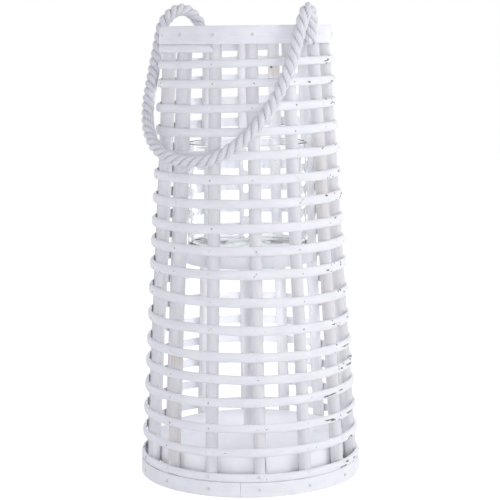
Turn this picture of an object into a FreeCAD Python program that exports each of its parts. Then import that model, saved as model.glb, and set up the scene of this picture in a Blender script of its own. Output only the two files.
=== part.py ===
"""Candle lantern of willow rods: a tapered cage, a hurricane glass on a post, a rope handle.

Millimetres. +Z is up, the front is -Y, and the lantern stands on Z = 0 with its axis on Z.
Angles go round from the front towards +X.
"""
import FreeCAD, Part
import math
import os

V = FreeCAD.Vector
Z_AXIS = V(0, 0, 1)

# Cage: the wall line is where the backs of the hoops lie on the crests of the uprights.
LANTERN_HEIGHT = 453.0
WALL_FOOT_RADIUS = 110.8
WALL_HEAD_RADIUS = 83.0
SEAT_GAP = 0.02

# Uprights: round rods, set out by eye. Some stray from the even pitch, in degrees.
UPRIGHT_COUNT = 14
UPRIGHT_DIAMETER = 12.6
UPRIGHT_FIRST = -73.0
UPRIGHT_STRAYS = {0: 2.0, 4: 1.3, 5: 1.3, 6: 3.0, 8: -1.5, 10: -2.0}
UPRIGHT_SETBACK = 1.0

# Hoops: split rods, flat side in, closed by an oblique scarf at an upright. Some, counted from
# the lowest, stray up or down from the row.
HOOP_COUNT = 18
HOOP_THICK = 2.8
HOOP_WIDTH = 8.0
HOOP_SWELL = 1.5
HOOP_LOWEST = 20.0
HOOP_TOP_DROP = 35.6
HOOP_WANDER = 5.2
HOOP_SKEW = -2.5
HOOP_STRAYS = {3: 1.5, 5: -2.5, 6: -1.0, 7: 1.5, 8: 4.0, 9: 2.5, 15: 1.0, 16: 2.5}
SCARF_GAP = 0.6
SCARF_SLOPE = 50.0
SCARF_STEP = 5

# Bands: flat strips at the base and at the rim.
BASE_BAND_HEIGHT = 14.6
BASE_BAND_THICK = 2.4
BASE_SEAM_ANGLE = -5.0
RIM_BAND_HEIGHT = 17.5
RIM_BAND_THICK = 2.8
RIM_SEAM_ANGLE = 112.0
INNER_BAND_HEIGHT = 16.0
INNER_BAND_THICK = 2.6
INNER_SEAM_ANGLE = 200.0

# The short rod under the rim, from one upright round the left to another at the back. Its ends
# are cut obliquely from a rod that is longer by the trim, in degrees.
STUB_WIDTH = 7.6
STUB_THICK = 2.6
STUB_DROP = 0.4
STUB_FIRST_UPRIGHT = 9
STUB_LAST_UPRIGHT = 2
STUB_TRIM = 8.0

# Floor, post and shelf.
BOARD_THICK = 21.0
BOARD_RAISE = 16.0
BOARD_GAP = 0.1
POST_DIAMETER = 13.0
SHELF_RADIUS = 66.0
SHELF_THICK = 12.5
SHELF_TOP = 229.0
SHELF_EDGE = 0.8
SCREW_SHANK = 3.5
SCREW_HEAD = 7.5
SCREW_HEAD_DEPTH = 2.4
SCREW_LENGTH = 45.0
SCREW_SINK = 0.3

# Hurricane glass.
GLASS_RADIUS = 61.0
GLASS_HEIGHT = 108.0
GLASS_WALL = 2.8
GLASS_FLOOR = 5.0
GLASS_FOOT_CHAMFER = 1.6
GLASS_CORNER = 4.0

# Nails.
NAIL_SHANK = 1.6
NAIL_HEAD = 3.6
NAIL_HEAD_THICK = 0.8
NAIL_PROUD = 0.3
NAIL_BITE = 1.2
BOARD_NAIL_BITE = 14.0
ROPE_NAIL_BITE = 5.0
ROPE_NAIL_RISE = 4.0
ROPE_NAIL_SPREAD = 10.0

# Rope handle. The route is chosen by hand, in millimetres from the middle of the rim's top:
# along the line between the two folds, out to the front left, and up.
ROPE_DIAMETER = 12.0
ROPE_LINE_ANGLE = 47.0
ROPE_RIGHT_END = [(93.2, 0.5, -23.0), (93.1, -1.5, -9.0)]
ROPE_RIGHT_FOLD = [(93.1, -1.5, 6.5), (93.5, 6.3, 14.3), (94.5, 17.4, 14.3), (95.5, 25.2, 6.5)]
ROPE_LOOP = [
    (93.5, 27.5, -13.0),
    (90.5, 36.0, -42.0),
    (84.5, 51.5, -73.0),
    (71.5, 72.0, -103.5),
    (45.0, 93.0, -127.0),
    (9.0, 102.5, -129.5),
    (-25.0, 100.5, -121.0),
    (-50.5, 89.0, -103.0),
    (-66.0, 74.0, -77.0),
    (-84.0, 48.0, -46.0),
    (-93.0, 30.0, -14.0),
]
ROPE_LEFT_FOLD = [(-94.0, 24.0, 4.0), (-93.0, 9.0, 16.0), (-92.0, -10.0, 19.0), (-90.0, -26.0, 11.0)]
ROPE_LEFT_END = [(-88.5, -31.0, -6.0), (-88.6, -29.0, -23.0)]
ROPE_ARC_SHARE = 0.45


def wall_radius(z):
    """Radius of the wall line at a height."""
    return WALL_FOOT_RADIUS - (WALL_FOOT_RADIUS - WALL_HEAD_RADIUS) * z / LANTERN_HEIGHT


def at_angle(shape, degrees):
    """A shape modelled at the front, turned round the lantern's axis."""
    shape.rotate(V(0, 0, 0), Z_AXIS, degrees)
    return shape


def polar(radius, degrees, z):
    """A point at a radius and an angle from the front."""
    turn = math.radians(degrees)
    return V(radius * math.sin(turn), -radius * math.cos(turn), z)


def upright_angle(index):
    """Angle of an upright: an even pitch, and its own stray."""
    return UPRIGHT_FIRST + 360.0 * index / UPRIGHT_COUNT + UPRIGHT_STRAYS.get(index, 0.0)


def make_upright(index):
    """One leaning rod, cut level at both ends."""
    top = LANTERN_HEIGHT - UPRIGHT_SETBACK
    foot = wall_radius(0) - SEAT_GAP - UPRIGHT_DIAMETER / 2
    lean = V(0, wall_radius(0) - wall_radius(top), top)
    section = Part.Face(Part.Wire(Part.makeCircle(UPRIGHT_DIAMETER / 2, V(0, -foot, 0))))
    return at_angle(section.extrude(lean), upright_angle(index))


def rod_section(z, width, thick):
    """Section of a hoop in the XZ plane: flat on the wall line, round outside."""
    low = V(wall_radius(z - width / 2), 0, z - width / 2)
    high = V(wall_radius(z + width / 2), 0, z + width / 2)
    crest = V(wall_radius(z) + thick, 0, z)
    outline = [Part.LineSegment(low, high).toShape(), Part.Arc(high, crest, low).toShape()]
    return Part.Face(Part.Wire(outline))


def band_section(z, height, inset, thick):
    """Section of a flat band in the XZ plane, a distance inside or outside the wall line."""
    top = z + height
    points = [
        V(wall_radius(z) + inset, 0, z),
        V(wall_radius(z) + inset + thick, 0, z),
        V(wall_radius(top) + inset + thick, 0, top),
        V(wall_radius(top) + inset, 0, top),
    ]
    return Part.Face(Part.makePolygon(points + points[:1]))


def slit(z, height, degrees, slope):
    """A thin radial slab that parts a ring where its two ends meet."""
    reach = WALL_FOOT_RADIUS
    tall = 4 * height
    slab = Part.makeBox(SCARF_GAP, reach, tall, V(-SCARF_GAP / 2, -1.5 * reach, z - tall / 2))
    slab.rotate(V(0, 0, z), V(0, 1, 0), slope)
    return at_angle(slab, degrees)


def hoop_height(index):
    """Mid height of a hoop, counted from the lowest: a pitch that drifts, and its own stray."""
    share = index / (HOOP_COUNT - 1)
    span = LANTERN_HEIGHT - HOOP_TOP_DROP - HOOP_LOWEST
    drift = HOOP_WANDER * math.sin(math.pi * share) + HOOP_SKEW * math.sin(2 * math.pi * share)
    return HOOP_LOWEST + span * share + drift + HOOP_STRAYS.get(index, 0.0)


def hoop_width(index):
    """Width of a hoop's rod: the stoutest rods are in the middle of the wall."""
    return HOOP_WIDTH + HOOP_SWELL * math.sin(math.pi * index / (HOOP_COUNT - 1))


def make_hoop(index):
    """One split rod bent round the uprights and scarfed at one of them."""
    z = hoop_height(index)
    width = hoop_width(index)
    ring = rod_section(z, width, HOOP_THICK).revolve(V(0, 0, 0), Z_AXIS, 360)
    scarf = upright_angle(SCARF_STEP * index % UPRIGHT_COUNT)
    return ring.cut(slit(z, width, scarf, SCARF_SLOPE))


def make_band(z, height, inset, thick, seam):
    """A flat strip bent into a ring, with a straight seam."""
    ring = band_section(z, height, inset, thick).revolve(V(0, 0, 0), Z_AXIS, 360)
    return ring.cut(slit(z + height / 2, height, seam, 0))


def make_stub_rod():
    """The rod under the rim that covers only part of the round, cut obliquely at both ends."""
    z = LANTERN_HEIGHT - RIM_BAND_HEIGHT - STUB_DROP - STUB_WIDTH / 2
    first = upright_angle(STUB_FIRST_UPRIGHT) - 360
    last = upright_angle(STUB_LAST_UPRIGHT)
    section = rod_section(z, STUB_WIDTH, STUB_THICK)
    section.rotate(V(0, 0, 0), Z_AXIS, first - STUB_TRIM - 90)
    rod = section.revolve(V(0, 0, 0), Z_AXIS, last - first + 2 * STUB_TRIM)
    for end in (first, last):
        rod = rod.cut(slit(z, STUB_WIDTH, end, SCARF_SLOPE))
    return max(rod.Solids, key=lambda solid: solid.Volume)


def screw():
    """A countersunk screw on the Z axis, head face at Z = 0, pointing down."""
    head = SCREW_HEAD / 2
    shank = SCREW_SHANK / 2
    profile = [
        V(0, 0, 0),
        V(head, 0, 0),
        V(shank, 0, -SCREW_HEAD_DEPTH),
        V(shank, 0, -SCREW_LENGTH + SCREW_SHANK),
        V(0, 0, -SCREW_LENGTH),
    ]
    return Part.Face(Part.makePolygon(profile + profile[:1])).revolve(V(0, 0, 0), Z_AXIS, 360)


def post_screws():
    """The screw down through the shelf and the one up through the floor."""
    upper = screw()
    upper.translate(V(0, 0, SHELF_TOP - SCREW_SINK))
    lower = screw()
    lower.rotate(V(0, 0, 0), V(1, 0, 0), 180)
    lower.translate(V(0, 0, BOARD_RAISE + SCREW_SINK))
    return [upper, lower]


def sunk(shape, z, direction):
    """The shallow recess above a screw head, cut away so that the head lies below the face."""
    return shape.cut(Part.makeCylinder(SCREW_HEAD / 2, SCREW_SINK, V(0, 0, z), direction))


def make_base_board():
    """The floor: a disc whose edge leans with the uprights."""
    top = BOARD_RAISE + BOARD_THICK
    inset = UPRIGHT_DIAMETER + BOARD_GAP
    disc = Part.makeCone(
        wall_radius(BOARD_RAISE) - inset, wall_radius(top) - inset, BOARD_THICK, V(0, 0, BOARD_RAISE)
    )
    return sunk(disc.cut(post_screws()[1]), BOARD_RAISE, Z_AXIS)


def make_shelf():
    """The board under the glass, with its edges eased."""
    disc = Part.makeCylinder(SHELF_RADIUS, SHELF_THICK, V(0, 0, SHELF_TOP - SHELF_THICK))
    disc = disc.makeChamfer(SHELF_EDGE, [edge for edge in disc.Edges if edge.Closed])
    return sunk(disc.cut(post_screws()[0]), SHELF_TOP, V(0, 0, -1))


def make_post():
    """The stick between the floor and the shelf."""
    foot = BOARD_RAISE + BOARD_THICK
    stick = Part.makeCylinder(POST_DIAMETER / 2, SHELF_TOP - SHELF_THICK - foot, V(0, 0, foot))
    return stick.cut(post_screws())


def make_glass():
    """The open glass cylinder with its thick floor, turned from one section."""
    inner = GLASS_RADIUS - GLASS_WALL
    bend = GLASS_CORNER * (1 - math.sqrt(0.5))
    low = SHELF_TOP
    floor = low + GLASS_FLOOR
    rim = low + GLASS_HEIGHT
    points = [
        V(0, 0, low),
        V(GLASS_RADIUS - GLASS_FOOT_CHAMFER, 0, low),
        V(GLASS_RADIUS, 0, low + GLASS_FOOT_CHAMFER),
        V(GLASS_RADIUS, 0, rim - GLASS_WALL / 2),
        V(inner + GLASS_WALL / 2, 0, rim),
        V(inner, 0, rim - GLASS_WALL / 2),
        V(inner, 0, floor + GLASS_CORNER),
        V(inner - bend, 0, floor + bend),
        V(inner - GLASS_CORNER, 0, floor),
        V(0, 0, floor),
    ]
    edges = [Part.LineSegment(points[i], points[i + 1]).toShape() for i in range(3)]
    edges.append(Part.Arc(points[3], points[4], points[5]).toShape())
    edges.append(Part.LineSegment(points[5], points[6]).toShape())
    edges.append(Part.Arc(points[6], points[7], points[8]).toShape())
    edges.append(Part.LineSegment(points[8], points[9]).toShape())
    edges.append(Part.LineSegment(points[9], points[0]).toShape())
    return Part.Face(Part.Wire(edges)).revolve(V(0, 0, 0), Z_AXIS, 360)


def nail(radius, depth, z, degrees):
    """A nail driven in from outside: its head stands proud of a face at a radius."""
    outside = polar(radius + NAIL_PROUD, degrees, z)
    inward = polar(-1, degrees, 0)
    head = Part.makeCylinder(NAIL_HEAD / 2, NAIL_HEAD_THICK, outside, inward)
    return head.fuse(Part.makeCylinder(NAIL_SHANK / 2, depth + NAIL_PROUD, outside, inward))


def nail_row(outset, depth, z):
    """One nail in each upright, from a face outside the wall line."""
    return [nail(wall_radius(z) + outset, depth, z, upright_angle(i)) for i in range(UPRIGHT_COUNT)]


def make_rim_nails():
    """Nails through the outer band and the upright into the inner band."""
    depth = RIM_BAND_THICK + UPRIGHT_DIAMETER + NAIL_BITE
    return Part.makeCompound(nail_row(RIM_BAND_THICK, depth, LANTERN_HEIGHT - RIM_BAND_HEIGHT / 2))


def make_band_nails():
    """Nails through the base band into the uprights."""
    depth = BASE_BAND_THICK + UPRIGHT_DIAMETER - NAIL_BITE
    return Part.makeCompound(nail_row(BASE_BAND_THICK, depth, BASE_BAND_HEIGHT / 2))


def make_board_nails():
    """Nails through the lowest hoop and the uprights into the edge of the floor."""
    z = hoop_height(0)
    depth = HOOP_THICK + UPRIGHT_DIAMETER + BOARD_NAIL_BITE
    return Part.makeCompound(nail_row(HOOP_THICK, depth, z))


def rope_point(along, out, up):
    """A point of the rope's route in the lantern's frame."""
    turn = math.radians(ROPE_LINE_ANGLE)
    x = along * math.sin(turn) - out * math.cos(turn)
    y = -along * math.cos(turn) - out * math.sin(turn)
    return V(x, y, LANTERN_HEIGHT + up)


def middle(first, second):
    """The point halfway between two points."""
    return (first + second) * 0.5


def rounded_corner(before, corner, after):
    """The arc at a point of the route, as large as the runs on both sides allow."""
    back = (before - corner).normalize()
    ahead = (after - corner).normalize()
    half_turn = (math.pi - back.getAngle(ahead)) / 2
    tangent = ROPE_ARC_SHARE * min((before - corner).Length, (after - corner).Length)
    radius = tangent / math.tan(half_turn)
    crown = corner + (back + ahead).normalize() * (radius / math.cos(half_turn) - radius)
    print("rope arc radius", round(radius, 1))
    return Part.Arc(corner + back * tangent, crown, corner + ahead * tangent)


def rope_wire(start, corners, end):
    """Straight runs joined by tangent arcs, from a start to an end."""
    edges = []
    here = start
    for before, corner, after in corners:
        arc = rounded_corner(before, corner, after)
        edges.append(Part.LineSegment(here, arc.StartPoint).toShape())
        edges.append(arc.toShape())
        here = arc.EndPoint
    edges.append(Part.LineSegment(here, end).toShape())
    return Part.Wire(edges)


def rope_tube(path):
    """A plain tube of the rope's diameter along a stretch of its route."""
    first = path.OrderedEdges[0]
    section = Part.Wire(Part.makeCircle(ROPE_DIAMETER / 2, first.valueAt(0), first.tangentAt(0)))
    tube = path.makePipeShell([section], True, False)
    ideal = math.pi * ROPE_DIAMETER ** 2 / 4 * path.Length
    print("rope length", round(path.Length, 1), "volume share", round(tube.Volume / ideal, 4))
    return tube


def make_ropes():
    """The rope's five stretches, which meet halfway along a straight run."""
    stretches = {
        "rope_end_right": ROPE_RIGHT_END,
        "rope_bend_right": ROPE_RIGHT_FOLD,
        "rope_handle": ROPE_LOOP,
        "rope_bend_left": ROPE_LEFT_FOLD,
        "rope_end_left": ROPE_LEFT_END,
    }
    route = [rope_point(*point) for points in stretches.values() for point in points]
    corners = list(zip(route, route[1:], route[2:]))
    tubes = {}
    first = 0
    for name, points in stretches.items():
        last = first + len(points)
        start = route[0] if first == 0 else middle(route[first - 1], route[first])
        end = route[-1] if last == len(route) else middle(route[last - 1], route[last])
        tubes[name] = rope_tube(rope_wire(start, corners[max(first - 1, 0):last - 1], end))
        first = last
    return tubes


def rope_nails_at(point):
    """Two nails driven from inside the rim into a rope end, side by side."""
    z = LANTERN_HEIGHT - RIM_BAND_HEIGHT + ROPE_NAIL_RISE
    outward = V(point.x, point.y, 0).normalize()
    rope_radius = V(point.x, point.y, 0).Length
    inside = wall_radius(z) - UPRIGHT_DIAMETER - INNER_BAND_THICK
    length = rope_radius - ROPE_DIAMETER / 2 - inside + ROPE_NAIL_BITE
    nails = []
    for step in (0, 1):
        place = outward * (inside - NAIL_PROUD) + V(0, 0, z + step * ROPE_NAIL_SPREAD)
        head = Part.makeCylinder(NAIL_HEAD / 2, NAIL_HEAD_THICK, place, outward)
        shank = Part.makeCylinder(NAIL_SHANK / 2, length + NAIL_PROUD, place, outward)
        nails.append(head.fuse(shank))
    return nails


def make_rope_nails():
    """The nails of both rope ends."""
    ends = [ROPE_RIGHT_END[1], ROPE_LEFT_END[0]]
    return Part.makeCompound([one for end in ends for one in rope_nails_at(rope_point(*end))])


def build():
    """Every node of the lantern by name."""
    nodes = {
        "base_board": make_base_board(),
        "base_band": make_band(0, BASE_BAND_HEIGHT, 0, BASE_BAND_THICK, BASE_SEAM_ANGLE),
        "rim_band_outer": make_band(
            LANTERN_HEIGHT - RIM_BAND_HEIGHT, RIM_BAND_HEIGHT, 0, RIM_BAND_THICK, RIM_SEAM_ANGLE
        ),
        "rim_band_inner": make_band(
            LANTERN_HEIGHT - INNER_BAND_HEIGHT,
            INNER_BAND_HEIGHT,
            -UPRIGHT_DIAMETER - INNER_BAND_THICK - SEAT_GAP,
            INNER_BAND_THICK,
            INNER_SEAM_ANGLE,
        ),
        "under_rim_rod": make_stub_rod(),
        "shelf_post": make_post(),
        "shelf": make_shelf(),
        "post_screws": Part.makeCompound(post_screws()),
        "hurricane_glass": make_glass(),
        "rim_nails": make_rim_nails(),
        "band_nails": make_band_nails(),
        "board_nails": make_board_nails(),
        "rope_nails": make_rope_nails(),
    }
    for index in range(UPRIGHT_COUNT):
        nodes["upright_%02d" % (index + 1)] = make_upright(index)
    for index in range(HOOP_COUNT):
        nodes["hoop_%02d" % (index + 1)] = make_hoop(index)
    nodes.update(make_ropes())
    return nodes


os.makedirs("parts", exist_ok=True)
for node, shape in build().items():
    shape.exportStep("parts/%s.step" % node)
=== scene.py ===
"""Looks of the willow candle lantern: rods, bands, glass and rope round the CAD frame.

Metres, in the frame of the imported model: +Z up, the front towards -Y.
Angles go round from the front towards +X, in degrees where nothing else is said.
"""

import math
import random

import bmesh
import bpy
from mathutils import Matrix, Vector, noise


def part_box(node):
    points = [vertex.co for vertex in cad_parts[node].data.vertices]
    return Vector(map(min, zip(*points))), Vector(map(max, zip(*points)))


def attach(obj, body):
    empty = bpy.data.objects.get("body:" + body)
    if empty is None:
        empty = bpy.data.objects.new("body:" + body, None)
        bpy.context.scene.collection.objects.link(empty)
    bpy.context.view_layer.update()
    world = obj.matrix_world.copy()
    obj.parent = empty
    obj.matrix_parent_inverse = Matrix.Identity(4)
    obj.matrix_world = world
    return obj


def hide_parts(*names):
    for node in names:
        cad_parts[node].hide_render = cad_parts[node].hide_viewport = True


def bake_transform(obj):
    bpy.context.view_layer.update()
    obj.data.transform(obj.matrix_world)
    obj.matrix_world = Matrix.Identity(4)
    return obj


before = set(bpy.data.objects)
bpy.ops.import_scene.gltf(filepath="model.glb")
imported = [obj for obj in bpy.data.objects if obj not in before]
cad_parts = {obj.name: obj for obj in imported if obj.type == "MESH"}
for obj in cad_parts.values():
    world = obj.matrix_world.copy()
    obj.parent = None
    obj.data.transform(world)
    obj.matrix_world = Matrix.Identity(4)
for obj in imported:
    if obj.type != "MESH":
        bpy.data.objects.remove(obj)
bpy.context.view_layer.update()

MM = 0.001

# The cage, as in the part's source.
LANTERN_HEIGHT = 453 * MM
WALL_FOOT_RADIUS = 110.8 * MM
WALL_HEAD_RADIUS = 83 * MM
UPRIGHT_COUNT = 14
UPRIGHT_DIAMETER = 12.6 * MM
UPRIGHT_FIRST = -73.0
UPRIGHT_STRAYS = {0: 2.0, 4: 1.3, 5: 1.3, 6: 3.0, 8: -1.5, 10: -2.0}
UPRIGHT_SETBACK = 1.0 * MM
HOOP_COUNT = 18
HOOP_THICK = 2.8 * MM
SCARF_SLOPE = math.radians(50)
SCARF_STEP = 5
STUB_THICK = 2.6 * MM
STUB_FIRST_UPRIGHT = 9
STUB_LAST_UPRIGHT = 2
BASE_BAND_THICK = 2.4 * MM
BASE_SEAM_ANGLE = -5.0
RIM_BAND_THICK = 2.8 * MM
RIM_SEAM_ANGLE = 112.0
INNER_BAND_THICK = 2.6 * MM
INNER_SEAM_ANGLE = 200.0
CLEARANCE = 0.02 * MM

# How the hand-made cage strays from even. The tilts are in degrees, right side up, from the top hoop down.
# The leans are how far round an upright's foot stands, and the drops how far a hoop, counted from the base,
# sits below its solid.
HOOP_TILTS = [
    1.3, 0.9, 1.5, 1.2, 0.8, 0.3, 0.8, 0.5, -0.1, -0.1, -1.2, -1.2, -0.9, -0.4, 0.7, 0.2, 0.2, -0.3
]
HOOP_DROPS = {0: 1.2 * MM}
HOOP_RIPPLE = 0.5 * MM
UPRIGHT_LEANS = {3: 2.0 * MM, 8: 4.5 * MM}
UPRIGHT_SWAY = 0.8 * MM
SEAM_GAP = 0.3 * MM

# How finely the rods and the rope are meshed.
ROD_STEP = 1.3 * MM
UPRIGHT_STEPS = 150
UPRIGHT_SIDES = 28
STRAND_SIDES = 30
BRAD_SIDES = 8
GLASS_SEGMENTS = 240

# White paint and a greyer copy of it, each from its greyer to its cleaner places, and what shows where it is
# worn. The greyer copy is painted shade, for the rods between the hoops and the post inside the cage.
WHITE_COATS = ((0.85, 0.86, 0.90, 1), (0.91, 0.92, 0.94, 1))
SHADED_COATS = ((0.74, 0.74, 0.76, 1), (0.81, 0.81, 0.83, 1))
STREAK_COLOUR = (0.66, 0.63, 0.61, 1)
BARE_WOOD = (0.56, 0.48, 0.36, 1)
# Chips show dark bare wood; their near-black is painted shade, as in splits and open splices.
CHIP_WOOD_AND_SPLIT_SHADE = ((0.30, 0.26, 0.24, 1), (0.03, 0.03, 0.035, 1))
NAIL_PAINT = (0.83, 0.84, 0.87, 1)
NAIL_RUST = (0.62, 0.60, 0.60, 1)
BRAD_RUST = (0.40, 0.36, 0.34, 1)
YARN_COLOURS = ((0.77, 0.77, 0.81, 1), (0.96, 0.96, 0.98, 1))
# Painted shade for the rope's grooves between its strands.
YARN_GROOVE_SHADE = (0.32, 0.31, 0.37, 1)

# The glass: its wall, floor and bends, and how its floor is hollowed: shares of the radius, with the rise
# of the underside or the dip of the upper side in millimetres.
GLASS_WALL = 2.8 * MM
GLASS_FLOOR = 5 * MM
GLASS_FOOT_BEND = 1.8 * MM
GLASS_CORNER_BEND = 4 * MM
GLASS_EDGE_HOLD = 0.3 * MM
GLASS_STAND_OFF = 0.05 * MM
GLASS_RISES = [(0.0, 2.4), (0.3, 2.1), (0.55, 1.4), (0.75, 0.4), (0.85, 0.0)]
GLASS_DIPS = [(0.6, 0.5), (0.0, 0.8)]
GLASS_TINT = (0.62, 0.76, 0.71, 1)
GLASS_TINT_DENSITY = 16.0

# The rope handle: the route's points from the part's source, in millimetres from the middle
# of the rim's top: along the line between the folds, out to the front left, and up.
ROPE_DIAMETER = 12 * MM
ROPE_LINE_ANGLE = math.radians(47)
ROPE_LAY = 29 * MM
ROPE_FULLNESS = 1.07
ROPE_TIP = 5 * MM
ROPE_STRANDS = 3
ROPE_RADIUS = ROPE_FULLNESS * ROPE_DIAMETER / 2
STRAND_RADIUS = ROPE_RADIUS / 1.98
YARN_TWIST = 230.0
YARN_WAVES = 3
ROPE_ROUTE = [
    (93.4, 9.0, -19.0),
    (93.3, 8.0, -8.0),
    (93.3, 7.0, 5.5),
    (93.5, 9.5, 14.0),
    (95.5, 16.0, 15.5),
    (96.5, 22.5, 7.0),
    (93.5, 27.5, -13.0),
    (90.5, 36.0, -42.0),
    (84.5, 51.5, -73.0),
    (71.5, 72.0, -103.5),
    (45.0, 93.0, -127.0),
    (9.0, 102.5, -129.5),
    (-25.0, 100.5, -121.0),
    (-50.5, 89.0, -103.0),
    (-66.0, 74.0, -77.0),
    (-84.0, 48.0, -46.0),
    (-93.0, 30.0, -14.0),
    (-94.0, 24.0, 4.0),
    (-93.0, 9.0, 16.0),
    (-92.5, -6.5, 18.5),
    (-91.0, -20.0, 11.5),
    (-88.5, -31.0, -6.0),
    (-88.6, -29.0, -23.0),
]

# Marks in the paint, seen in the photograph: hoop number from the top, angle, length in millimetres and slant
# in degrees. A mark with no slant is a chip along the rod, and a slanted one an open splice, whose dark line
# is painted shade in its gap.
HOOP_MARKS = [
    (1, 64, 15, 0), (1, 67, 11, 0), (2, 43, 7, 0), (2, 73, 15, 0), (3, 68, 6, 0), (3, 74, 8, 0),
    (3, 70, 6, 0), (6, 75, 14, 0), (6, 60, 4, 0), (7, 79, 14, 0), (7, 76, 8, 0), (9, 77, 5, 0),
    (10, 67, 5, 0), (10, 79, 9, 0), (10, 51, 8, 0), (11, 70, 8, 0), (12, 54, 10, 0), (12, 61, 4, 0),
    (12, 74, 14, 0), (13, 67, 28, 0), (14, 60, 8, 0), (14, 70, 25, 0), (14, 74, 14, 0), (15, 46, 21, 0),
    (15, 50, 14, 0), (15, 58, 16, 0), (16, 46, 22, 0), (16, 49, 14, 0), (16, 67, 25, 0), (17, 66, 12, 0),
    (17, -13, 22, 1), (17, -18, 9, 2), (18, 56, 18, 0), (18, 60, 12, 0), (18, 70, 12, 0),
    (3, -21, 6, 40), (5, 33, 8, 52), (7, 33, 12, 42), (9, -22, 8, 52), (10, 4, 9, 52), (11, -22, 8, 52),
    (12, -22, 9, 52), (12, 3, 9, 52), (12, 9, 7, 52), (14, 4, 6, 30), (15, -22, 8, 52), (15, 34, 8, 52),
    (16, 5, 12, 48), (16, 7, 11, 62), (16, 8, 8, -40), (16, 9, 9, 35), (16, -22, 9, 52), (17, 36, 9, 52),
    (18, 6, 10, 45), (18, 8, 10, 75), (18, 9, 8, -35),
]
HOOP_MARK_REACH = 14
HOOP_WORN_SPOTS = 9

# Worn places of the uprights, by their number: bare wood as height, reach and strength, and dark marks as
# height, reach along the rod, angle round the rod and reach round it, in millimetres and degrees.
BARE_PLACES = {
    1: [(130, 12, 0.6), (50, 60, 0.3)],
    5: [(300, 60, 0.4), (140, 150, 0.1)],
    6: [(180, 200, 0.06)],
    9: [(412, 14, 0.6)],
}
ROD_MARKS = {3: [(30, 26, 64, 2.6)], 9: [(411, 5, 172, 4)]}

# The photograph's camera: its place, its lens in millimetres, and its tilt down and roll in degrees.
CAMERA_PLACE = (0.002, -1.55, 0.4448)
CAMERA_SENSOR = 36
CAMERA_LENS = 110.5
CAMERA_TILT = 8.016
CAMERA_ROLL = -0.66

# The studio: a floor, soft light from all round, and lamps given by name, place, aim, width, power and colour.
FLOOR_REACH = 4.0
FLOOR_GLOW = 0.6
SOFT_LIGHT = (0.925, 0.925, 1.0, 1)
SOFT_STRENGTH = 0.52
COOL_LIGHT = (0.96, 0.955, 1.0)
KEY_LIGHT = (1.0, 0.99, 0.98)
MIDDLE = (0, 0, 0.22)
STUDIO_LAMPS = [
    ("front", (0.1, -1.8, 0.5), MIDDLE, 0.5, 3.6, COOL_LIGHT),
    ("low", (0.0, -1.8, 0.1), (0, 0, 0.1), 0.4, 4.5, COOL_LIGHT),
    ("left", (-1.7, -0.6, 0.7), MIDDLE, 1.2, 3.0, COOL_LIGHT),
    ("back_left", (-1.4, 1.2, 0.25), MIDDLE, 0.8, 4.5, COOL_LIGHT),
    ("back_right", (1.4, 1.2, 0.25), MIDDLE, 0.8, 4.5, COOL_LIGHT),
    ("key", (1.7, -0.5, 0.9), MIDDLE, 1.2, 12, KEY_LIGHT),
]

# Weak lamps inside the cage: one in each gap by the edge of the floor board, and rings under and in the glass,
# given by their heights, radius and power.
FILL_LIGHT = (0.98, 0.975, 1.0)
EDGE_LAMP_LEVEL = 0.03
EDGE_LAMP_SETBACK = 3 * MM
EDGE_LAMP_SIZE = 28 * MM
EDGE_LAMP_POWER = 0.0006
FILL_LAMP_SIZE = 0.012
FILL_BEARINGS = (95, 180, 265)
FILL_RINGS = [
    ((0.10, 0.135, 0.17), 0.05, 0.0125),
    ((0.26, 0.31, 0.36, 0.41), 0.04, 0.0095),
]


def wall_radius(z):
    """Radius of the line where hoops lie on uprights."""
    return WALL_FOOT_RADIUS - (WALL_FOOT_RADIUS - WALL_HEAD_RADIUS) * z / LANTERN_HEIGHT


def upright_angle(index):
    """Angle of an upright: an even pitch, and its own stray."""
    return UPRIGHT_FIRST + 360.0 * index / UPRIGHT_COUNT + UPRIGHT_STRAYS.get(index, 0.0)


def hoop_seed(index):
    """The number from which a hoop's own bends and grain start."""
    return 3.7 * (index + 1)


def upright_seed(index):
    """The number from which an upright's own bends and grain start."""
    return 11.3 + 2.9 * index


def polar(radius, degrees, z):
    """A point at a radius and an angle from the front."""
    turn = math.radians(degrees)
    return Vector((radius * math.sin(turn), -radius * math.cos(turn), z))


def drift(*values):
    """Smooth repeatable noise from -1 to 1."""
    return noise.noise(Vector(values))


def level_and_width(node):
    """The height of a CAD node's middle, and how high the node itself is."""
    low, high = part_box(node)
    return (low[2] + high[2]) / 2, high[2] - low[2]


def add_object(name, data):
    """A new object in the scene."""
    item = bpy.data.objects.new(name, data)
    bpy.context.scene.collection.objects.link(item)
    return item


def feed(tree, socket, value):
    """A socket linked to another one, or set to a value."""
    if isinstance(value, bpy.types.NodeSocket):
        tree.links.new(value, socket)
    else:
        socket.default_value = value


def add_node(tree, kind, **inputs):
    """A shader node with its inputs set or linked by name, or by number after an underscore."""
    node = tree.nodes.new(kind)
    for name, value in inputs.items():
        key = int(name[1:]) if name[0] == "_" else name.replace("_", " ")
        feed(tree, node.inputs[key], value)
    return node


def new_material(name):
    """An empty node material: its tree and its main shader, linked to the output."""
    material = bpy.data.materials.new(name)
    material.use_nodes = True
    tree = material.node_tree
    tree.nodes.clear()
    shader = tree.nodes.new("ShaderNodeBsdfPrincipled")
    output = tree.nodes.new("ShaderNodeOutputMaterial")
    tree.links.new(shader.outputs["BSDF"], output.inputs["Surface"])
    return material, tree, shader


def stored(tree, name):
    """The outputs of what a mesh keeps at its points under a name."""
    node = tree.nodes.new("ShaderNodeAttribute")
    node.attribute_name = name
    return node.outputs


def along_rod(tree):
    """The coordinate stored on a rod: along it, across it, and a number of its own."""
    return stored(tree, "grain")["Vector"]


def in_frame(tree):
    """The coordinate of a CAD piece, which is the frame's own."""
    return tree.nodes.new("ShaderNodeTexCoord").outputs["Object"]


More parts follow.
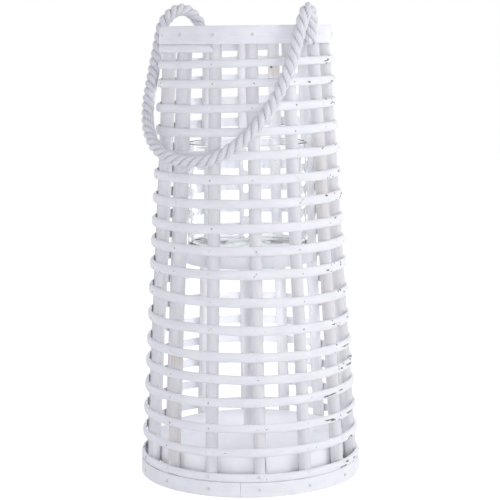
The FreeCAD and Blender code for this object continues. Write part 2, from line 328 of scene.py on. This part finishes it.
def scaled(tree, vector, scale):
    """A coordinate stretched by three factors."""
    node = add_node(tree, "ShaderNodeVectorMath", _0=vector, _1=scale)
    node.operation = "MULTIPLY"
    return node.outputs["Vector"]


def noise_value(tree, vector, scale, detail, roughness):
    """Noise at a coordinate stretched by three factors."""
    place = scaled(tree, vector, scale)
    node = add_node(tree, "ShaderNodeTexNoise", Vector=place, Scale=1.0, Detail=detail, Roughness=roughness)
    return node.outputs["Fac"]


def remap(tree, value, low, high, to_low=0.0, to_high=1.0):
    """A value mapped from one range to another, clamped."""
    node = add_node(
        tree, "ShaderNodeMapRange", Value=value, From_Min=low, From_Max=high, To_Min=to_low, To_Max=to_high
    )
    return node.outputs["Result"]


def maths(tree, operation, first, second):
    """Two values put together."""
    node = add_node(tree, "ShaderNodeMath", _0=first, _1=second)
    node.operation = operation
    return node.outputs["Value"]


def blend_colour(tree, share, first, second):
    """Two colours mixed by a share."""
    node = tree.nodes.new("ShaderNodeMix")
    node.data_type = "RGBA"
    for number, value in ((0, share), (6, first), (7, second)):
        feed(tree, node.inputs[number], value)
    return node.outputs[2]


def seen_rays(tree):
    """One for what the camera sees, also by reflection or through glass, and zero for other light."""
    rays = tree.nodes.new("ShaderNodeLightPath")
    seen = maths(tree, "MAXIMUM", rays.outputs["Is Camera Ray"], rays.outputs["Is Glossy Ray"])
    return maths(tree, "MAXIMUM", seen, rays.outputs["Is Transmission Ray"])


def painted_wood(name, vector_of, fibre_scale, patch_scale, streaks, marked, coats):
    """White paint over split wood: fibres under it, thin places, and chips where they are marked, dark bare
    wood mixed with painted shade of splits.
    """
    material, tree, shader = new_material(name)
    vector = vector_of(tree)
    fibre = noise_value(tree, vector, fibre_scale, 5.0, 0.65)
    patch = noise_value(tree, vector, patch_scale, 3.0, 0.5)
    paint = blend_colour(tree, remap(tree, patch, 0.3, 0.7), *coats)
    open_fibre = remap(tree, fibre, 0.5, 0.75)
    thin = maths(tree, "MULTIPLY", open_fibre, remap(tree, patch, 0.65, 0.4, 0.0, streaks))
    colour = blend_colour(tree, thin, paint, STREAK_COLOUR)
    relief = maths(tree, "MULTIPLY", fibre, 0.7)
    rough = remap(tree, patch, 0.2, 0.8, 0.48, 0.68)
    if marked:
        worn_fibre = remap(tree, fibre, 0.35, 0.6, 0.35, 1.0)
        shows = maths(tree, "MULTIPLY", stored(tree, "bare")["Fac"], worn_fibre)
        colour = blend_colour(tree, shows, colour, BARE_WOOD)
        ragged = remap(tree, noise_value(tree, vector, (170, 1000, 1), 4.0, 0.7), 0.3, 0.7)
        edge = maths(tree, "ADD", stored(tree, "chip")["Fac"], maths(tree, "MULTIPLY", ragged, 0.5))
        hole = remap(tree, edge, 0.80, 0.92)
        # Dark bare wood mixed with near-black painted shade of the splits.
        chip_wood_and_shade = blend_colour(tree, ragged, *CHIP_WOOD_AND_SPLIT_SHADE)
        colour = blend_colour(tree, hole, colour, chip_wood_and_shade)
        relief = maths(tree, "SUBTRACT", relief, hole)
    bump = add_node(tree, "ShaderNodeBump", Height=relief, Strength=0.35, Distance=0.0006)
    tree.links.new(colour, shader.inputs["Base Color"])
    tree.links.new(rough, shader.inputs["Roughness"])
    tree.links.new(bump.outputs["Normal"], shader.inputs["Normal"])
    shader.inputs["Specular IOR Level"].default_value = 0.35
    return material


def make_rope_material():
    """White cotton-like yarn: fine twist lines, a little sheen, and painted shade in the grooves."""
    material, tree, shader = new_material("rope_yarn")
    vector = along_rod(tree)
    fibre = noise_value(tree, vector, (90, 1900, 1), 3.0, 0.6)
    fuzz = noise_value(tree, vector, (900, 1500, 1), 4.0, 0.7)
    tone = maths(tree, "ADD", maths(tree, "MULTIPLY", fibre, 0.6), maths(tree, "MULTIPLY", fuzz, 0.4))
    colour = blend_colour(tree, remap(tree, tone, 0.38, 0.62), *YARN_COLOURS)
    uneven = remap(tree, fuzz, 0.3, 0.7, 0.6, 1.0)
    # Painted shade in the grooves, by how deep each point lies.
    shade = maths(tree, "MULTIPLY", stored(tree, "depth")["Fac"], uneven)
    colour = blend_colour(tree, shade, colour, YARN_GROOVE_SHADE)
    bump = add_node(tree, "ShaderNodeBump", Height=tone, Strength=0.8, Distance=0.0008)
    tree.links.new(colour, shader.inputs["Base Color"])
    tree.links.new(bump.outputs["Normal"], shader.inputs["Normal"])
    shader.inputs["Roughness"].default_value = 0.85
    shader.inputs["Sheen Weight"].default_value = 0.25
    shader.inputs["Specular IOR Level"].default_value = 0.2
    return material


def make_nail_material(name, rust):
    """Dull nail heads with old paint and rust on them."""
    material, tree, shader = new_material(name)
    vector = in_frame(tree)
    spot = noise_value(tree, vector, (900, 900, 900), 3.0, 0.6)
    where = noise_value(tree, vector, (60, 60, 60), 2.0, 0.5)
    worn = remap(tree, maths(tree, "ADD", maths(tree, "MULTIPLY", spot, 0.4), where), 0.68, 0.80)
    tree.links.new(blend_colour(tree, worn, NAIL_PAINT, rust), shader.inputs["Base Color"])
    bump = add_node(tree, "ShaderNodeBump", Height=spot, Strength=0.3, Distance=0.0003)
    tree.links.new(bump.outputs["Normal"], shader.inputs["Normal"])
    shader.inputs["Roughness"].default_value = 0.6
    return material


def make_glass_material():
    """Clear glass whose thickness is faintly green."""
    material, tree, shader = new_material("clear_glass")
    haze = noise_value(tree, in_frame(tree), (40, 40, 25), 3.0, 0.5)
    tree.links.new(remap(tree, haze, 0.3, 0.8, 0.0, 0.03), shader.inputs["Roughness"])
    shader.inputs["Base Color"].default_value = (1.0, 1.0, 1.0, 1)
    shader.inputs["Transmission Weight"].default_value = 1.0
    shader.inputs["IOR"].default_value = 1.47
    absorb = add_node(tree, "ShaderNodeVolumeAbsorption", Color=GLASS_TINT, Density=GLASS_TINT_DENSITY)
    output = next(node for node in tree.nodes if node.type == "OUTPUT_MATERIAL")
    tree.links.new(absorb.outputs["Volume"], output.inputs["Volume"])
    return material


def face_outwards(mesh):
    """All faces of a closed mesh turned outwards."""
    work = bmesh.new()
    work.from_mesh(mesh)
    bmesh.ops.recalc_face_normals(work, faces=work.faces)
    work.to_mesh(mesh)
    work.free()


def mesh_object(name, rings, closed, grain, material):
    """A mesh through rings of points, with the coordinate of each point along and across."""
    count = len(rings[0])
    verts = [point for ring in rings for point in ring]
    faces = []
    pairs = len(rings) if closed else len(rings) - 1
    for i in range(pairs):
        low = i * count
        high = (i + 1) % len(rings) * count
        for j in range(count):
            k = (j + 1) % count
            faces.append((low + j, low + k, high + k, high + j))
    if not closed:
        faces.append(tuple(reversed(range(count))))
        faces.append(tuple(range(len(verts) - count, len(verts))))
    mesh = bpy.data.meshes.new(name)
    mesh.from_pydata([tuple(v) for v in verts], [], faces)
    face_outwards(mesh)
    mesh.shade_smooth()
    attribute = mesh.attributes.new("grain", "FLOAT_VECTOR", "POINT")
    attribute.data.foreach_set("vector", [value for ring in grain for point in ring for value in point])
    mesh.materials.append(material)
    return add_object(name, mesh)


def set_values(piece, name, values):
    """One number per point of a mesh, for its material."""
    attribute = piece.data.attributes.new(name, "FLOAT", "POINT")
    attribute.data.foreach_set("value", values)


def sharp_edges(piece, degrees):
    """Edges that turn more than an angle stay crisp in the shading."""
    piece.data.set_sharp_from_angle(angle=math.radians(degrees))


def dress(piece, body, slot, *nodes):
    """A piece that rides on a body and stands for CAD nodes, which it hides; the slot is not used."""
    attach(piece, body)
    if nodes:
        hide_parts(*nodes)


def half_round(steps, flatness):
    """Outline of a split rod as shares of its thickness and half width, from edge to edge."""
    points = [(0.0, 0.55), (0.0, 0.0), (0.0, -0.55)]
    for i in range(steps + 1):
        turn = math.pi * (i / steps - 0.5)
        points.append((max(math.cos(turn), 0.0) ** flatness, math.sin(turn)))
    return points


def strip(steps):
    """Outline of a flat strip with eased corners, as shares of its thickness and half width."""
    ease = 0.16
    points = [(0.0, 0.9), (0.0, 0.0), (0.0, -0.9), (ease, -1.0), (1.0 - ease, -1.0), (1.0, -0.9)]
    points += [(1.0, -0.9 + 1.8 * (i + 1) / steps) for i in range(steps)]
    return points + [(1.0 - ease, 1.0), (ease, 1.0)]


def hoop_lift(tilt, seed, degrees):
    """How far a hand-bent hoop is above its own level at an angle."""
    turn = math.radians(degrees)
    wave = drift(2.2 * math.cos(turn) + seed, 2.2 * math.sin(turn), seed)
    return WALL_HEAD_RADIUS * math.tan(math.radians(tilt)) * math.sin(turn) + HOOP_RIPPLE * wave


def hoop_name(index):
    """The CAD node of a hoop, counted from the base up."""
    return "hoop_%02d" % (index + 1)


def hoop_place(index):
    """A hoop's level, width and tilt, counted from the base up."""
    level, width = level_and_width(hoop_name(index))
    return level - HOOP_DROPS.get(index, 0.0), width, HOOP_TILTS[HOOP_COUNT - 1 - index]


def bent_rod(name, section, z, width, thick, first, sweep, tilt, seed, material):
    """A split rod bent round the wall line, from one angle through another, cut obliquely."""
    radius = wall_radius(z)
    steps = int(math.radians(sweep) * radius / ROD_STEP)
    rings = []
    grain = []
    for i in range(steps + 1):
        degrees = first + sweep * i / steps
        near_end = min(i, steps - i) * ROD_STEP
        shear = max(0.0, 1.0 - near_end / (3 * width)) / math.tan(SCARF_SLOPE)
        turn = math.radians(degrees)
        spot = Vector((math.cos(turn), math.sin(turn), 0.0)) * 2.6
        broad = 1.0 + 0.07 * drift(spot.x + seed, spot.y, seed + 5.1)
        deep = 0.96 + 0.04 * drift(spot.x * 2, spot.y * 2 + seed, seed + 9.3)
        level = z + hoop_lift(tilt, seed, degrees)
        ring = []
        ring_grain = []
        across = 0.0
        for j, (out, up) in enumerate(section):
            rough = 0.02 * drift(spot.x * 9, spot.y * 9 + seed, j * 0.7)
            height = up * width / 2 * broad
            angle = degrees - math.degrees(shear * height / radius)
            reach = wall_radius(level + height) + thick * max(out * (deep + rough), 0.004)
            ring.append(polar(reach, angle, level + height))
            ring_grain.append((turn * radius, across, seed))
            across += width / 8
        rings.append(ring)
        grain.append(ring_grain)
    return mesh_object(name, rings, False, grain, material)


def paint_marks(piece, marks, z, tilt, seed):
    """Chips and open splices of a hoop, and a scatter of small worn spots along its edges; the splices' dark
    lines are painted shade in their gaps.
    """
    radius = wall_radius(z) + HOOP_THICK
    rng = random.Random(int(seed * 101))
    spots = []
    for angle, length, slant in marks:
        side = 0.0 if slant else rng.uniform(-2.4, 1.6) * MM
        spots.append((angle, side, length * MM, (0.8 if slant else 1.15) * MM, slant))
    for _ in range(HOOP_WORN_SPOTS):
        side = rng.choice((-1, 1)) * rng.uniform(2.6, 4.2) * MM
        at = rng.choice((rng.uniform(52, 100), rng.uniform(60, 300)))
        spots.append((at, side, rng.uniform(2, 7) * MM, rng.uniform(0.5, 1.3) * MM, 0))
    values = []
    for vertex in piece.data.vertices:
        angle = math.degrees(math.atan2(vertex.co.x, -vertex.co.y))
        up = vertex.co.z - z - hoop_lift(tilt, seed, angle)
        most = 0.0
        for at, high, length, breadth, slant in spots:
            apart = (angle - at + 180) % 360 - 180
            if abs(apart) > HOOP_MARK_REACH:
                continue
            along = math.radians(apart) * radius
            lean = math.radians(slant)
            u = along * math.cos(lean) + (up - high) * math.sin(lean)
            v = (up - high) * math.cos(lean) - along * math.sin(lean)
            depth = 0.76 if slant else 1.0
            most = max(most, depth * (1.0 - (2 * u / length) ** 4 - (v / breadth) ** 2 * 0.5))
        values.append(0.8 * max(most, 0.0))
    set_values(piece, "chip", values)


def make_hoops(material):
    """The hoops, each a split rod with its own bends, width and worn places."""
    section = half_round(16, 0.72)
    for index in range(HOOP_COUNT):
        name = hoop_name(index)
        z, width, tilt = hoop_place(index)
        seed = hoop_seed(index)
        gap = math.degrees(SEAM_GAP / wall_radius(z))
        first = upright_angle(SCARF_STEP * index % UPRIGHT_COUNT) + gap / 2
        piece = bent_rod(
            "willow_" + name, section, z, width, HOOP_THICK, first, 360 - gap, tilt, seed, material
        )
        marks = [mark[1:] for mark in HOOP_MARKS if mark[0] == HOOP_COUNT - index]
        paint_marks(piece, marks, z, tilt, seed)
        sharp_edges(piece, 50)
        dress(piece, "cage", "painted_willow", name)


def rod_chip(index, z, thick, turn):
    """How deep a dark mark of an upright is at a height and an angle round the rod."""
    chip = 0.0
    for mid, high, facing, broad in ROD_MARKS.get(index, []):
        round_it = thick * (turn - math.radians(facing)) / (broad * MM)
        chip = max(chip, 1.0 - math.hypot((z / MM - mid) / high, round_it))
    return chip


def make_uprights(material):
    """The uprights: round rods with slight bends, swellings and bare places."""
    top = LANTERN_HEIGHT - UPRIGHT_SETBACK
    for index in range(UPRIGHT_COUNT):
        name = "upright_%02d" % (index + 1)
        seed = upright_seed(index)
        places = BARE_PLACES.get(index, [])
        rings = []
        grain = []
        bare = []
        chips = []
        for i in range(UPRIGHT_STEPS + 1):
            z = top * i / UPRIGHT_STEPS
            thick = UPRIGHT_DIAMETER / 2 * (0.98 + 0.03 * drift(z * 16, seed, 0.0))
            sway = UPRIGHT_SWAY * drift(z * 5, seed, 8.0) * math.sin(math.pi * i / UPRIGHT_STEPS)
            sway += UPRIGHT_LEANS.get(index, 0.0) * max(0.0, 1.0 - z / (0.9 * LANTERN_HEIGHT))
            shown = max([0.0] + [most * (1 - ((z / MM - mid) / reach) ** 2) for mid, reach, most in places])
            ring = []
            ring_grain = []
            for j in range(UPRIGHT_SIDES):
                turn = 2 * math.pi * j / UPRIGHT_SIDES
                uneven = drift(z * 60, seed + 2 * math.cos(turn), 2 * math.sin(turn))
                radius = thick * (0.985 + 0.015 * uneven)
                out = wall_radius(z) - CLEARANCE - thick + radius * math.cos(turn)
                side = sway + radius * math.sin(turn)
                degrees = upright_angle(index) + math.degrees(math.atan2(side, out))
                ring.append(polar(math.hypot(out, side), degrees, z))
                ring_grain.append((z, thick * turn, seed))
                bare.append(shown)
                chips.append(rod_chip(index, z, thick, turn))
            rings.append(ring)
            grain.append(ring_grain)
        piece = mesh_object("willow_" + name, rings, False, grain, material)
        set_values(piece, "bare", bare)
        set_values(piece, "chip", chips)
        sharp_edges(piece, 50)
        dress(piece, "cage", "painted_willow", name)


def bent_band(name, section, z, width, thick, first, sweep, seed, inset, material):
    """A flat strip bent round the wall line, level, with faintly uneven faces."""
    radius = wall_radius(z) + inset
    steps = int(math.radians(sweep) * radius / (2 * ROD_STEP))
    rings = []
    grain = []
    for i in range(steps + 1):
        degrees = first + sweep * i / steps
        turn = math.radians(degrees)
        ring = []
        ring_grain = []
        across = 0.0
        for out, up in section:
            uneven = 0.97 + 0.03 * drift(3 * math.cos(turn) + seed, 3 * math.sin(turn), up * 1.5)
            height = up * width / 2
            reach = wall_radius(z + height) + inset + thick * out * uneven
            ring.append(polar(reach, degrees, z + height))
            ring_grain.append((turn * radius, across, seed))
            across += width / 8
        rings.append(ring)
        grain.append(ring_grain)
    return mesh_object("strip_" + name, rings, False, grain, material)


def make_bands(material):
    """The flat strips of the rim and the base, and the short rod under the rim."""
    section = strip(6)
    inner_inset = -UPRIGHT_DIAMETER - INNER_BAND_THICK - CLEARANCE
    rows = [
        ("rim_band_outer", RIM_BAND_THICK, 0.0, RIM_SEAM_ANGLE, 61.0),
        ("rim_band_inner", INNER_BAND_THICK, inner_inset, INNER_SEAM_ANGLE, 67.0),
        ("base_band", BASE_BAND_THICK, 0.0, BASE_SEAM_ANGLE, 73.0),
    ]
    for name, thick, inset, seam, seed in rows:
        z, width = level_and_width(name)
        gap = math.degrees(SEAM_GAP / wall_radius(z))
        piece = bent_band(name, section, z, width, thick, seam + gap / 2, 360 - gap, seed, inset, material)
        sharp_edges(piece, 40)
        dress(piece, "cage", "painted_willow", name)
    z, width = level_and_width("under_rim_rod")
    first = upright_angle(STUB_FIRST_UPRIGHT) - 360
    sweep = upright_angle(STUB_LAST_UPRIGHT) - first
    piece = bent_rod(
        "willow_under_rim_rod", half_round(12, 0.72), z, width, STUB_THICK, first, sweep, 0.0, 79.0, material
    )
    sharp_edges(piece, 50)
    dress(piece, "cage", "painted_willow", "under_rim_rod")


def make_brads(material):
    """Small brad heads where hoops cross uprights."""
    rng = random.Random(5)
    verts = []
    faces = []
    sides = BRAD_SIDES
    for index in range(HOOP_COUNT):
        z, _, tilt = hoop_place(index)
        for k in range(UPRIGHT_COUNT):
            degrees = upright_angle(k) + rng.uniform(-1.2, 1.2)
            height = z + hoop_lift(tilt, hoop_seed(index), degrees) + rng.uniform(-1, 1) * MM
            size = rng.uniform(0.65, 0.95) * MM
            start = len(verts)
            for lift, spread in ((-0.5 * MM, 1.0), (0.12 * MM, 1.0), (0.25 * MM, 0.6)):
                radius = wall_radius(z) + HOOP_THICK * 0.97 + lift
                for s in range(sides):
                    a = 2 * math.pi * s / sides
                    swing = math.degrees(size * spread * math.cos(a) / radius)
                    verts.append(polar(radius, degrees + swing, height + size * spread * math.sin(a)))
            for level in range(2):
                for s in range(sides):
                    a = start + level * sides
                    t = (s + 1) % sides
                    faces.append((a + s, a + t, a + sides + t, a + sides + s))
            faces.append(tuple(range(start + 2 * sides, start + 3 * sides)))
            faces.append(tuple(reversed(range(start, start + sides))))
    mesh = bpy.data.meshes.new("hoop_brads")
    mesh.from_pydata([tuple(v) for v in verts], [], faces)
    mesh.update()
    mesh.shade_smooth()
    mesh.materials.append(material)
    dress(add_object("hoop_brads", mesh), "cage", "nail_steel")


def lathe(name, profile, segments, material):
    """A turned piece from points of radius and height, all but closed at the axis."""
    axis_hole = 1e-5
    rings = []
    grain = []
    for i in range(segments):
        degrees = 360 * i / segments
        rings.append([polar(max(radius, axis_hole), degrees, z) for radius, z in profile])
        grain.append([(math.radians(degrees) * radius, z, 0.0) for radius, z in profile])
    return mesh_object(name, rings, True, grain, material)


def rounded(corner, start, end, steps):
    """Points of a turn between two angles about a centre: (radius, height, bend)."""
    radius, z, bend = corner
    turns = [math.radians(start + (end - start) * i / steps) for i in range(steps + 1)]
    return [(radius + bend * math.cos(t), z + bend * math.sin(t)) for t in turns]


def make_glass(material):
    """The glass cylinder: a thick hollowed floor with soft corners and a fire-rounded rim."""
    low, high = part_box("hurricane_glass")
    radius = high[0]
    bottom = low[2]
    top = high[2]
    floor = bottom + GLASS_FLOOR
    under = bottom + GLASS_STAND_OFF
    inside = radius - GLASS_WALL
    foot = GLASS_FOOT_BEND
    corner = GLASS_CORNER_BEND
    hold = GLASS_EDGE_HOLD
    lip = GLASS_WALL / 2
    profile = [(radius * share, under + rise * MM) for share, rise in GLASS_RISES]
    profile += [(radius - foot - hold, under)]
    profile += rounded((radius - foot, under + foot, foot), -90, 0, 5)
    profile += [(radius, under + foot + hold), (radius, top - lip - hold)]
    profile += rounded((radius - lip, top - lip, lip), 0, 180, 8)
    profile += [(inside, top - lip - hold), (inside, floor + corner + hold)]
    profile += rounded((inside - corner, floor + corner, corner), 0, -90, 6)
    profile += [(inside - corner - hold, floor)]
    profile += [(radius * share, floor - dip * MM) for share, dip in GLASS_DIPS]
    piece = lathe("glass_cylinder", profile, GLASS_SEGMENTS, material)
    piece.data.validate()
    piece.visible_shadow = False
    piece.visible_diffuse = False
    dress(piece, "glass", "glass", "hurricane_glass")


def rope_point(along, out, up):
    """A point of the rope's route in the frame."""
    x = along * math.sin(ROPE_LINE_ANGLE) - out * math.cos(ROPE_LINE_ANGLE)
    y = -along * math.cos(ROPE_LINE_ANGLE) - out * math.sin(ROPE_LINE_ANGLE)
    return Vector((x * MM, y * MM, LANTERN_HEIGHT + up * MM))


def smooth_route():
    """Points along the rope's smooth line, read from a spline through its route."""
    curve = bpy.data.curves.new("rope_route", "CURVE")
    curve.dimensions = "3D"
    curve.resolution_u = 20
    spline = curve.splines.new("NURBS")
    spline.points.add(len(ROPE_ROUTE) - 1)
    for point, place in zip(spline.points, ROPE_ROUTE):
        point.co = (*rope_point(*place), 1.0)
    spline.order_u = 3
    spline.use_endpoint_u = True
    holder = bpy.data.objects.new("rope_route", curve)
    line = bpy.data.meshes.new_from_object(holder)
    points = [vertex.co.copy() for vertex in line.vertices]
    bpy.data.objects.remove(holder)
    bpy.data.meshes.remove(line)
    return points


def frames_along(points):
    """Steady cross directions along a line, and the length up to each point."""
    tangents = []
    for i in range(len(points)):
        tangents.append((points[min(i + 1, len(points) - 1)] - points[max(i - 1, 0)]).normalized())
    side = tangents[0].orthogonal().normalized()
    sides = []
    lengths = [0.0]
    for i, tangent in enumerate(tangents):
        side = (side - tangent * side.dot(tangent)).normalized()
        sides.append((side.copy(), tangent.cross(side).normalized()))
        if i:
            lengths.append(lengths[-1] + (points[i] - points[i - 1]).length)
    return sides, lengths


def strand(points, phase, material):
    """One of the rope's strands, wound round the rope's line, with ridges of yarn and painted shade in the
    grooves between them.
    """
    sides, lengths = frames_along(points)
    middle = []
    for point, (u, v), length in zip(points, sides, lengths):
        turn = phase - 2 * math.pi * length / ROPE_LAY
        middle.append(point + (u * math.cos(turn) + v * math.sin(turn)) * (ROPE_RADIUS - STRAND_RADIUS))
    strand_sides, strand_lengths = frames_along(middle)
    rings = []
    grain = []
    groove_shades = []
    for i, (point, (u, v)) in enumerate(zip(middle, strand_sides)):
        length = strand_lengths[i]
        near_end = min(length, strand_lengths[-1] - length)
        tip = math.sqrt(1.0 - (1.0 - min(near_end / ROPE_TIP, 1.0)) ** 2) * 0.8 + 0.2
        ring = []
        ring_grain = []
        for j in range(STRAND_SIDES):
            turn = 2 * math.pi * j / STRAND_SIDES
            yarn = abs(math.sin(YARN_WAVES * turn - YARN_WAVES * YARN_TWIST * length + phase))
            radius = STRAND_RADIUS * (0.86 + 0.14 * yarn) * tip
            place = point + (u * math.cos(turn) + v * math.sin(turn)) * radius
            ring.append(place)
            ring_grain.append((length, STRAND_RADIUS * (turn - YARN_TWIST * length), phase))
            inward = (place - points[i]).length / ROPE_RADIUS
            # Painted shade: darker the deeper a point lies between the strands and in the dips of the yarn.
            groove_shade = max(2.7 - 3.2 * inward, 0.0) + 0.35 * (1.0 - yarn) ** 3
            groove_shades.append(min(groove_shade, 0.9) * tip ** 4)
        rings.append(ring)
        grain.append(ring_grain)
    piece = mesh_object("rope_strand", rings, False, grain, material)
    set_values(piece, "depth", groove_shades)
    return piece


def make_rope(material):
    """The rope handle: its strands in one piece, in place of the CAD rope pieces, which it hides."""
    points = smooth_route()
    strands = [strand(points, 2 * math.pi * k / ROPE_STRANDS, material) for k in range(ROPE_STRANDS)]
    with bpy.context.temp_override(active_object=strands[0], selected_editable_objects=strands):
        bpy.ops.object.join()
    rope = strands[0]
    rope.name = "rope_handle_strands"
    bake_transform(rope)
    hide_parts("rope_end_right", "rope_bend_right", "rope_handle", "rope_bend_left", "rope_end_left")


def repaint(name, material):
    """One material over a whole CAD piece."""
    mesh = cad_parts[name].data
    mesh.materials.clear()
    mesh.materials.append(material)


def paint_cad_nodes(board, post, nails):
    """Materials of the CAD pieces that show as they are."""
    for name in ("base_board", "shelf"):
        repaint(name, board)
    repaint("shelf_post", post)
    for name in ("rim_nails", "band_nails", "board_nails", "rope_nails", "post_screws"):
        repaint(name, nails)


def make_floor():
    """A pale floor that reads white to the camera and keeps a soft shadow."""
    mesh = bpy.data.meshes.new("studio_floor")
    corners = [(x * FLOOR_REACH, y * FLOOR_REACH, 0) for x, y in ((-1, -1), (1, -1), (1, 1), (-1, 1))]
    mesh.from_pydata(corners, [], [(0, 1, 2, 3)])
    floor = add_object("studio_floor", mesh)
    material, tree, shader = new_material("studio_floor")
    shader.inputs["Base Color"].default_value = (0.9, 0.9, 0.9, 1)
    shader.inputs["Roughness"].default_value = 0.9
    shader.inputs["Emission Color"].default_value = (1, 1, 1, 1)
    glow = maths(tree, "MULTIPLY", seen_rays(tree), FLOOR_GLOW)
    tree.links.new(glow, shader.inputs["Emission Strength"])
    mesh.materials.append(material)


def make_world():
    """White to the camera and in glass; a softer, cooler light on surfaces."""
    world = bpy.data.worlds.new("studio")
    world.use_nodes = True
    bpy.context.scene.world = world
    tree = world.node_tree
    tree.nodes.clear()
    seen = seen_rays(tree)
    soft = add_node(tree, "ShaderNodeBackground", Color=SOFT_LIGHT, Strength=SOFT_STRENGTH)
    white = add_node(tree, "ShaderNodeBackground", Color=(1, 1, 1, 1), Strength=1.0)
    mix = add_node(tree, "ShaderNodeMixShader", _0=seen, _1=soft.outputs[0], _2=white.outputs[0])
    output = tree.nodes.new("ShaderNodeOutputWorld")
    tree.links.new(mix.outputs[0], output.inputs["Surface"])


def add_lamp(name, place, aim, size, power, colour):
    """A soft square lamp that points at a place."""
    lamp = bpy.data.lights.new(name, "AREA")
    lamp.shape = "SQUARE"
    lamp.size = size
    lamp.energy = power
    lamp.color = colour
    holder = add_object(name, lamp)
    holder.location = place
    holder.rotation_euler = (Vector(aim) - Vector(place)).to_track_quat("-Z", "Y").to_euler()
    return holder


def hide_lamp(holder):
    """Keep a lamp's own shape out of the picture."""
    holder.visible_camera = False
    holder.visible_glossy = False
    holder.visible_transmission = False


def add_edge_lamps():
    """A faint lamp between each two uprights that lights the edge of the floor board."""
    z = EDGE_LAMP_LEVEL
    for k in range(UPRIGHT_COUNT):
        degrees = UPRIGHT_FIRST + 360 * (k + 0.5) / UPRIGHT_COUNT
        place = polar(wall_radius(z) - EDGE_LAMP_SETBACK, degrees, z)
        hide_lamp(add_lamp("edge", place, (0, 0, z), EDGE_LAMP_SIZE, EDGE_LAMP_POWER, FILL_LIGHT))


def add_fill_lamps(z, radius, power):
    """A ring of faint lamps that light the inside of the cage as much as its outside."""
    for degrees in FILL_BEARINGS:
        lamp = bpy.data.lights.new("fill", "POINT")
        lamp.shadow_soft_size = FILL_LAMP_SIZE
        lamp.energy = power
        lamp.color = FILL_LIGHT
        holder = add_object("fill", lamp)
        holder.location = polar(radius, degrees, z)
        hide_lamp(holder)


def make_lights():
    """The studio's lamps, and the weak ones inside the cage."""
    for row in STUDIO_LAMPS:
        add_lamp(*row)
    add_edge_lamps()
    for levels, radius, power in FILL_RINGS:
        for z in levels:
            add_fill_lamps(z, radius, power)


def make_camera():
    """The photograph's view: a little above the rim, looking down, with a slight roll."""
    data = bpy.data.cameras.new("camera")
    data.sensor_width = CAMERA_SENSOR
    data.lens = CAMERA_LENS
    camera = add_object("camera", data)
    pitch = Matrix.Rotation(math.radians(90 - CAMERA_TILT), 4, "X")
    roll = Matrix.Rotation(math.radians(CAMERA_ROLL), 4, "Z")
    camera.matrix_world = Matrix.Translation(CAMERA_PLACE) @ pitch @ roll
    bpy.context.scene.camera = camera


hoop_paint = painted_wood(
    "painted_hoop", along_rod, fibre_scale=(55, 1300, 1), patch_scale=(45, 90, 1),
    streaks=0.45, marked=True, coats=WHITE_COATS,
)
# The rods take the greyer paint: painted shade for where they stand between the hoops.
rod_paint = painted_wood(
    "painted_rod", along_rod, fibre_scale=(22, 900, 1), patch_scale=(30, 120, 1),
    streaks=0.85, marked=True, coats=SHADED_COATS,
)
board_paint = painted_wood(
    "painted_board", in_frame, fibre_scale=(40, 700, 60), patch_scale=(18, 24, 18),
    streaks=0.3, marked=False, coats=WHITE_COATS,
)
# The post takes the greyer paint too: painted shade for its place inside the cage.
post_paint = painted_wood(
    "painted_post", in_frame, fibre_scale=(500, 500, 20), patch_scale=(60, 60, 18),
    streaks=0.85, marked=False, coats=SHADED_COATS,
)
nail_paint = make_nail_material("nail_head", NAIL_RUST)
brad_paint = make_nail_material("brad_head", BRAD_RUST)
make_camera()
make_world()
make_floor()
make_lights()
make_rope(make_rope_material())
make_hoops(hoop_paint)
make_uprights(rod_paint)
make_bands(hoop_paint)
make_brads(brad_paint)
make_glass(make_glass_material())
paint_cad_nodes(board_paint, post_paint, nail_paint)

bpy.context.scene.view_settings.view_transform = "Standard"
